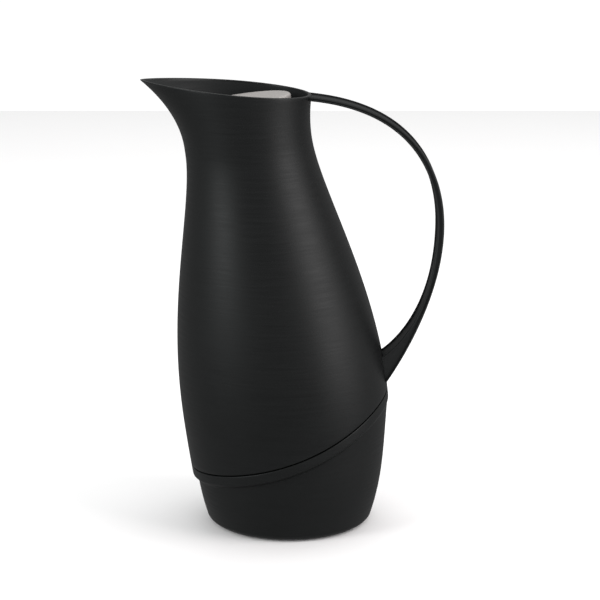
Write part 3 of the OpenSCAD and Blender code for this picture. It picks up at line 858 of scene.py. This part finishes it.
@dataclass
class BaseCup:
    """The base cup: spigot, raised band under the seam, soft step, tapering side and rounded foot.

    Attributes:
        seam_gap: Gap between the shell and the cup.
        band_h, band_soft: Height of the raised band, and of the soft step below it.
        cup_r0, cup_r1, cup_top: Radius at the table and at the height cup_top.
        cup_flare, cup_lift: Slope of the side at the table, and its pull at the top.
        foot_fillet, foot_gap: Rounding of the foot, and its height above the table.
        floor_t: Thickness of the floor.
        spigot_h, spigot_wall: Height of the spigot inside the shell, and its wall.
        joint_clear: Gap between the spigot and the shell.
        groove_in, groove_out, groove_h: Radii and depth of the groove for the foot ring.
        cap_bore_r: Radius of the bore for the bottom cap.
        sleeve_wall, sleeve_h: Wall and height of the sleeve round that bore.
        edge_round: Rounding at the seam.
        top_wear, foot_wear: How handled the edge at the seam and the foot are.
        arc_steps, foot_steps: Points on the rounded edge and on the foot.
        band_rings, step_rings, side_rings, inside_rings: Rings on each stretch.
        form: The jug's outer form.
    """

    seam_gap: float = 0.9
    band_h: float = 6.0
    band_soft: float = 3.5
    cup_r0: float = 52.5
    cup_r1: float = 65.0
    cup_flare: float = 0.375
    cup_top: float = 88.0
    cup_lift: float = 8.5
    foot_fillet: float = 6.5
    foot_gap: float = 0.6
    floor_t: float = 3.0
    spigot_h: float = 6.0
    spigot_wall: float = 2.0
    joint_clear: float = 0.25
    groove_in: float = 39.8
    groove_out: float = 45.2
    groove_h: float = 1.0
    cap_bore_r: float = 36.0
    sleeve_wall: float = 2.5
    sleeve_h: float = 16.0
    edge_round: float = 0.5
    top_wear: float = 0.6
    foot_wear: float = 0.35
    arc_steps: int = 6
    foot_steps: int = 14
    band_rings: int = 7
    step_rings: int = 13
    side_rings: int = 36
    inside_rings: int = 12
    form: JugForm = FORM

    def cup_radius(self, z: np.ndarray) -> np.ndarray:
        """Radius of the side: a Hermite curve with its own slope at the table and at the top.

        Args:
            z: Heights above the table.

        Returns:
            One radius for each height.
        """
        t = z / self.cup_top
        return ((2 * t ** 3 - 3 * t * t + 1) * self.cup_r0
                + (t ** 3 - 2 * t * t + t) * self.cup_top * self.cup_flare
                + (3 * t * t - 2 * t ** 3) * self.cup_r1 + (t ** 3 - t * t) * self.cup_lift)

    def band(self, drop: float, share: float) -> np.ndarray:
        """A ring below the seam, part of the way from the shell's form to the cup's own line.

        Args:
            drop: Depth below the cup's upper edge.
            share: 0 on the shell's form and 1 on the cup's own line.

        Returns:
            One ring of points.
        """
        f = self.form
        p = f.rings(f.seam(0, -self.seam_gap - drop), 0)
        return self.on_cup(p[..., 2], 0) * share + p * (1 - share)

    def on_cup(self, heights: np.ndarray, inset: float) -> np.ndarray:
        """Rings of the cup's own line along lines of heights.

        Args:
            heights: One height for each angle, for one ring or several.
            inset: Distance inside the cup's outer side.

        Returns:
            The rings' points.
        """
        heights = np.atleast_2d(heights)
        r = self.cup_radius(heights) - inset
        return np.stack([r * np.cos(self.form.angles), r * np.sin(self.form.angles), heights], -1)

    def flat(self, z: float, r: float) -> np.ndarray:
        """A level ring."""
        a = self.form.angles
        return np.stack([r * np.cos(a), r * np.sin(a), np.full(len(a), z)], -1)[None]

    def build(self) -> bpy.types.Object:
        """Skins the cup from its spigot down the outside, under the foot and up the inside.

        Returns:
            The base cup.
        """
        f, wall, e = self.form, self.form.wall, self.edge_round
        seat = wall + self.joint_clear
        arc_in, arc_up = quarter_round(self.arc_steps)
        top = [f.rings(f.seam(e * i, -self.seam_gap - e * u), e * i)
               for i, u in zip(arc_in[::-1], arc_up[::-1])]
        band = [self.band(drop, 0) for drop in np.linspace(e, self.band_h, self.band_rings)[1:]]
        step = [self.band(self.band_h + self.band_soft * s, float(soft(s)))
                for s in np.linspace(0, 1, self.step_rings)[1:]]
        line = step[-1][0, :, 2]
        flare = math.atan(self.cup_flare)
        centre = (self.cup_r0 + (self.foot_gap + self.foot_fillet) * self.cup_flare
                  - self.foot_fillet / math.cos(flare))
        foot = np.full(f.sides, self.foot_gap + self.foot_fillet * (1 - math.sin(flare)))
        side = self.on_cup(between(line, foot, np.linspace(0, 1, self.side_rings)[1:]), 0)
        turn = np.linspace(-flare, -np.pi / 2, self.foot_steps)[1:]
        round_foot = [self.flat(self.foot_gap + self.foot_fillet * (1 + math.sin(a)),
                                centre + self.foot_fillet * math.cos(a)) for a in turn]
        high = self.foot_gap + self.groove_h
        floor = self.foot_gap + self.floor_t
        under = [self.flat(z, r) for z, r in (
            (self.foot_gap, self.groove_out), (high, self.groove_out), (high, self.groove_in),
            (self.foot_gap, self.groove_in), (self.foot_gap, self.cap_bore_r),
            (self.sleeve_h, self.cap_bore_r), (self.sleeve_h, self.cap_bore_r + self.sleeve_wall),
            (floor, self.cap_bore_r + self.sleeve_wall), (floor, centre))]
        low = np.full(f.sides, self.foot_gap + self.foot_fillet + self.floor_t / 2)
        inside = self.on_cup(between(low, line, np.linspace(0, 1, self.inside_rings)), wall)
        deep = seat + self.spigot_wall
        spigot = [f.rings(f.seam(deep, -self.seam_gap), deep), f.rings(f.seam(deep, self.spigot_h), deep),
                  f.rings(f.seam(seat, self.spigot_h), seat), f.rings(f.seam(seat, -self.seam_gap), seat)]
        rings = np.vstack([*top, *band, *step, side, *round_foot, *under, inside, *spigot])
        edge = np.zeros(len(rings))
        edge[:len(top)] = self.top_wear
        foot_from = len(top) + len(band) + len(step) + len(side)
        edge[foot_from:foot_from + len(round_foot)] = self.foot_wear
        made = skin("base_cup", rings, True, Finishes.BASE, "jug", edge=edge)
        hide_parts("base_shell")
        return made


@dataclass
class Handle:
    """The strap handle: a flat bar with rounded corners between two curves of side view.

    Attributes:
        width, thick: Width of the bar, and its thickness at the furthest reach.
        reach_z: Height of the furthest reach.
        heel_z, crotch_z: Heights at which the outer and inner edges meet the shell.
        heel_fall, crotch_fall: Fall of each edge, inside the wall, for each millimetre in.
        root: Thickness of the bar at the rim.
        fall: Fall of the bar as it leaves the rim, in degrees.
        corner, guard: Rounding of the corners, and width of the flat beside it.
        sink_share: How deep the ends are sunk, as a share of the wall.
        corner_wear: How handled the rounded corners are.
        outer_pulls, inner_pulls: Lengths of each edge's pulls at the root, above and below the reach.
        stations: Stations on each half of the bar.
        corner_steps: Points on each rounded corner.
        form: The jug's outer form.
    """

    width: float = 22.0
    reach_z: float = 196.5
    thick: float = 4.5
    heel_z: float = 94.73
    crotch_z: float = 112.13
    heel_fall: float = 1.45
    crotch_fall: float = 1.05
    root: float = 3.1
    fall: float = 5.5
    corner: float = 0.9
    guard: float = 0.3
    sink_share: float = 0.6
    corner_wear: float = 0.55
    outer_pulls: tuple[float, float, float] = (79.0, 22.7, 52.6)
    inner_pulls: tuple[float, float, float] = (75.0, 22.4, 65.4)
    stations: int = 110
    corner_steps: int = 7
    form: JugForm = FORM

    def edge(self, root: np.ndarray, reach: np.ndarray, end: np.ndarray,
             pulls: tuple[float, float, float], t: np.ndarray) -> np.ndarray:
        """Side view of one edge: over the top to the furthest reach, then down to the shell.

        Args:
            root, reach, end: X and Z of the three points.
            pulls: Lengths of the curve's pulls out of the root, above and below the reach.
            t: Parameters from 0 to 2.

        Returns:
            X and Z of each station.
        """
        fall = math.radians(self.fall)
        start = root + pulls[0] * np.array([math.cos(fall), -math.sin(fall)])
        over = bezier(root, start, reach + [0, pulls[1]], reach, t[t < 1])
        down = bezier(reach, reach - [0, pulls[2]], end, end, t[t >= 1] - 1)
        return np.vstack([over, down])

    def build(self) -> bpy.types.Object:
        """Skins the bar, with its two ends sunk into the wall of the shell.

        Returns:
            The handle.
        """
        f, t = self.form, np.linspace(0, 2, 2 * self.stations + 1)
        sink = self.sink_share * f.wall
        back = float(f.point(f.rim(0, -LIP_ROUND)[:1], f.angles[:1], 0)[0, 0])
        top = float(f.rim_height(np.array(back)))
        end = [np.array([float(f.back_x(np.array(0.0), np.array(z), 0.0)) - sink, z - fall * sink])
               for z, fall in ((self.heel_z, self.heel_fall), (self.crotch_z, self.crotch_fall))]
        start = np.array([back - sink, top])
        outer = self.edge(start, np.array([GRIP_X, self.reach_z]), end[0], self.outer_pulls, t)
        inner = self.edge(start - [0, self.root], np.array([GRIP_X - self.thick, self.reach_z]), end[1],
                          self.inner_pulls, t)
        deep = np.linalg.norm(inner - outer, axis=1)
        arc_in, arc_up = quarter_round(self.corner_steps)
        gap_y = np.concatenate([[self.corner + self.guard], self.corner * arc_up, [0.0]])
        gap_d = np.concatenate([[0.0], self.corner * arc_in, [self.corner + self.guard]])
        half = self.width / 2
        y, share = self.section(half, gap_y, gap_d, deep)
        points = outer[:, None, :] + (inner - outer)[:, None, :] * share[..., None]
        rings = np.stack([points[..., 0], np.broadcast_to(y, share.shape), points[..., 1]], -1)
        rings[-1, :, 0] = f.back_x(rings[-1, :, 1], rings[-1, :, 2], -sink)
        worn = np.broadcast_to(self.wear(), (len(t), len(y)))
        made = skin("handle_bar", rings, False, Finishes.HANDLE, "jug", sharp=50.0, edge=worn)
        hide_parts("handle_strap")
        return made

    def section(self, half: float, gap_y: np.ndarray, gap_d: np.ndarray,
                deep: np.ndarray) -> tuple[np.ndarray, np.ndarray]:
        """The cross-section as side places, and shares of the depth at each station.

        Args:
            half: Half the width.
            gap_y, gap_d: How far a corner's points stand in from the side and from the face.
            deep: Depth of the bar at each station.

        Returns:
            The side places, and one share for each station and side place.
        """
        down, up = slice(None), slice(None, None, -1)
        order = [(1, 0, down), (-1, 0, up), (-1, 1, down), (1, 1, up)]
        sides, shares = [], []
        for side, inner, way in order:
            sides.append(side * (half - gap_y[way]))
            face = gap_d[way][None, :] / deep[:, None]
            shares.append(1 - face if inner else face)
        return np.concatenate(sides), np.concatenate(shares, axis=1)

    def wear(self) -> np.ndarray:
        """How handled each point of the section is: the rounded corners are, the faces aren't."""
        return np.tile(np.pad(np.full(self.corner_steps, self.corner_wear), 1), 4)


@dataclass
class Lid:
    """The steel lid plate: flat, dropping over a rounded edge to a short skirt.

    Attributes:
        r: Radius of the plate.
        steel: Thickness of the steel.
        edge: Rounding of the edge.
        skirt: Depth of the skirt.
        outer_break, inner_break: Width and height of the chamfers on the skirt's lower edge.
        middle_r: Radius of the smallest ring, which is closed to the middle.
        edge_steps, flat_rings: Points on the rounded edge, and rings on the flat.
        form: The jug's outer form.
    """

    r: float = 31.0
    steel: float = 0.8
    edge: float = 1.5
    skirt: float = 3.6
    outer_break: tuple[float, float] = (0.25, 0.3)
    inner_break: tuple[float, float] = (0.1, 0.2)
    middle_r: float = 0.02
    edge_steps: int = 12
    flat_rings: int = 14
    form: JugForm = FORM

    def build(self) -> bpy.types.Object:
        """Skins the plate from its middle out, over the edge and back underneath.

        Returns:
            The lid plate.
        """
        a = np.linspace(np.pi / 2, 0, self.edge_steps)
        r = self.r - self.edge
        flat = [(x, 0.0) for x in np.linspace(self.middle_r, r, self.flat_rings)[:-1]]
        over = [(r + self.edge * math.cos(t), self.edge * (math.sin(t) - 1)) for t in a]
        inner = self.edge - self.steel
        back = [(r + inner * math.cos(t), inner * math.sin(t) - self.edge) for t in a[::-1]]
        bore = self.r - self.steel
        hem = [(self.r, self.outer_break[1] - self.skirt), (self.r - self.outer_break[0], -self.skirt),
               (bore + self.inner_break[0], -self.skirt), (bore, self.inner_break[1] - self.skirt)]
        profile = [*flat, *over, *hem, *back, (self.middle_r, -self.steel)]
        made = skin("lid_plate", self.form.turned(profile), False, Finishes.LID, "lid", sharp=60.0)
        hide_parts("lid_disc")
        return made


@dataclass
class StopperRing:
    """The stopper's silicone ring: soft fins on a band.

    Attributes:
        inside, outside: Inner radius, and radius at the fins' tips.
        low, high: Heights of its two ends, from the top of the lid.
        band: Thickness of the band between the fins.
        fins: How many fins it has.
        fin_power: Exponent of the fins' raised cosine; less than 1 is fuller.
        steps: Points down the outside.
        form: The jug's outer form.
    """

    inside: float = 23.45
    outside: float = 24.9
    low: float = -18.95
    high: float = -17.05
    band: float = 0.55
    fins: int = 2
    fin_power: float = 0.7
    steps: int = 33
    form: JugForm = FORM

    def build(self) -> bpy.types.Object:
        """Turns a closed profile: a flat band inside and fins as raised cosines outside.

        Returns:
            The stopper's ring.
        """
        t = np.linspace(0, 1, self.steps)
        rise = (0.5 - 0.5 * np.cos(2 * np.pi * self.fins * t)) ** self.fin_power
        r = self.inside + self.band + (self.outside - self.inside - self.band) * rise
        h = self.low + (self.high - self.low) * t
        profile = [(self.inside, self.low), *zip(r, h), (self.inside, self.high)]
        made = skin("stopper_ring", self.form.turned(profile), True, Finishes.SEAL, "stopper", sharp=60.0)
        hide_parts("stopper_seal")
        return made


# ---- studio --------------------------------------------------------------------------------------
@dataclass(frozen=True)
class Softbox:
    """A soft area light.

    Attributes:
        name: The light's name.
        place, aim: Where it is and what it faces, in metres.
        size: Width and height in metres.
        watts: Its power.
        colour: Its colour.
    """

    name: str
    place: tuple[float, float, float]
    aim: tuple[float, float, float]
    size: tuple[float, float]
    watts: float
    colour: Colour = (1.0, 1.0, 1.0)

    def build(self) -> bpy.types.Object:
        """Hangs the light.

        Returns:
            The light.
        """
        lamp = bpy.data.lights.new(self.name, "AREA")
        lamp.shape = "RECTANGLE"
        lamp.size, lamp.size_y = self.size
        lamp.energy = self.watts
        lamp.color = self.colour
        made = bpy.data.objects.new(self.name, lamp)
        made.location = self.place
        made.rotation_euler = (Vector(self.aim) - Vector(self.place)).to_track_quat("-Z", "Y").to_euler()
        bpy.context.scene.collection.objects.link(made)
        return made


@dataclass
class Studio:
    """Pale floor, even room light, softboxes and the camera.

    Attributes:
        floor_size, floor_lines: Side of the floor in metres, and grid lines each way.
        room, flagged, backdrop: Strength of the room light, of what glossy surfaces reflect of it,
            and of the backdrop.
        camera_back, camera_z, camera_x: Where the camera stands, in metres.
        camera_down: Tilt of the camera below level, in degrees.
        lens: Focal length in millimetres.
        boxes: The softboxes.
    """

    floor_size: float = 4.0
    floor_lines: int = 25
    room: float = 0.78
    flagged: float = 0.29
    backdrop: float = 1.05
    camera_back: float = 1.23258
    camera_z: float = 0.4364
    camera_x: float = 0.00430
    camera_down: float = 13.22
    lens: float = 117.25
    boxes: tuple[Softbox, ...] = (
        Softbox("right_box", (1.54, -0.64, 0.9), (0, 0, 0.12), (1.05, 1.9), 25.5, (1.0, 0.95, 0.95)),
        Softbox("left_box", (-1.5, -0.9, 0.8), (0, 0, 0.18), (0.6, 1.0), 14.0),
        Softbox("top_box", (0.22, 0.8, 2.0), (0, 0, 0.0), (2.0, 1.6), 15.0))

    def build(self) -> None:
        """Builds the studio round the jug."""
        self.floor()
        self.world()
        for box in self.boxes:
            box.build()
        self.camera()
        bpy.context.scene.view_settings.view_transform = "Standard"
        log.info("studio: %d softboxes", len(self.boxes))

    def floor(self) -> None:
        """Lays the floor as a grid, finer in the middle."""
        place = np.linspace(-1, 1, self.floor_lines)
        place = np.sign(place) * np.abs(place) ** 2 * self.floor_size / 2
        x, y = np.meshgrid(place, place, indexing="ij")
        n = self.floor_lines
        row, col = np.meshgrid(np.arange(n - 1), np.arange(n - 1), indexing="ij")
        corner = row * n + col
        faces = np.stack([corner, corner + n, corner + n + 1, corner + 1], -1).reshape(-1, 4)
        mesh = bpy.data.meshes.new("studio_floor")
        mesh.from_pydata(np.stack([x, y, 0 * x], -1).reshape(-1, 3).tolist(), [], faces.tolist())
        mesh.materials.append(StudioFloor("studio_floor", (0.93, 0.93, 0.93), 0.8).material())
        made = bpy.data.objects.new("studio_floor", mesh)
        made.visible_glossy = False
        bpy.context.scene.collection.objects.link(made)

    def world(self) -> None:
        """Even white room light, with black flags that dim what glossy surfaces reflect of it, and a
        white backdrop behind the floor."""
        world = bpy.data.worlds.new("room")
        world.use_nodes = True
        tree = world.node_tree
        back = tree.nodes["Background"]
        back.inputs["Color"].default_value = (1.0, 1.0, 1.0, 1.0)
        path = tree.nodes.new("ShaderNodeLightPath")
        strength = tree.nodes.new("ShaderNodeMapRange")
        strength.inputs["To Min"].default_value = self.room
        strength.inputs["To Max"].default_value = self.flagged
        tree.links.new(path.outputs["Is Glossy Ray"], strength.inputs["Value"])
        seen = tree.nodes.new("ShaderNodeMapRange")
        seen.inputs["To Max"].default_value = self.backdrop
        tree.links.new(path.outputs["Is Camera Ray"], seen.inputs["Value"])
        tree.links.new(strength.outputs["Result"], seen.inputs["To Min"])
        tree.links.new(seen.outputs["Result"], back.inputs["Strength"])
        bpy.context.scene.world = world

    def camera(self) -> None:
        """Stands the camera in front of the jug, tilted down."""
        lens = bpy.data.cameras.new("camera")
        lens.lens = self.lens
        lens.sensor_width = 36.0
        lens.clip_start, lens.clip_end = 0.05, 50.0
        made = bpy.data.objects.new("camera", lens)
        made.location = (self.camera_x, -self.camera_back, self.camera_z)
        made.rotation_euler = (math.radians(90 - self.camera_down), 0.0, 0.0)
        bpy.context.scene.collection.objects.link(made)
        bpy.context.scene.camera = made


def dress_nodes() -> None:
    """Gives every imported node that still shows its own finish."""
    for name, finish in NODE_FINISH.items():
        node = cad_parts[name]
        node.data.materials.clear()
        node.data.materials.append(finish.value.material())
        log.info("%s: %s", name, finish.value.name)


def main() -> None:
    """Builds the jug's pieces in order, then the studio."""
    logging.basicConfig(level=logging.INFO, format="%(name)s %(message)s")
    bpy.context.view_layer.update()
    dress_nodes()
    for part in (Shell(), BaseCup(), Handle(), Lid(), StopperRing()):
        part.build()
    Studio().build()


if __name__ == "__main__":
    main()
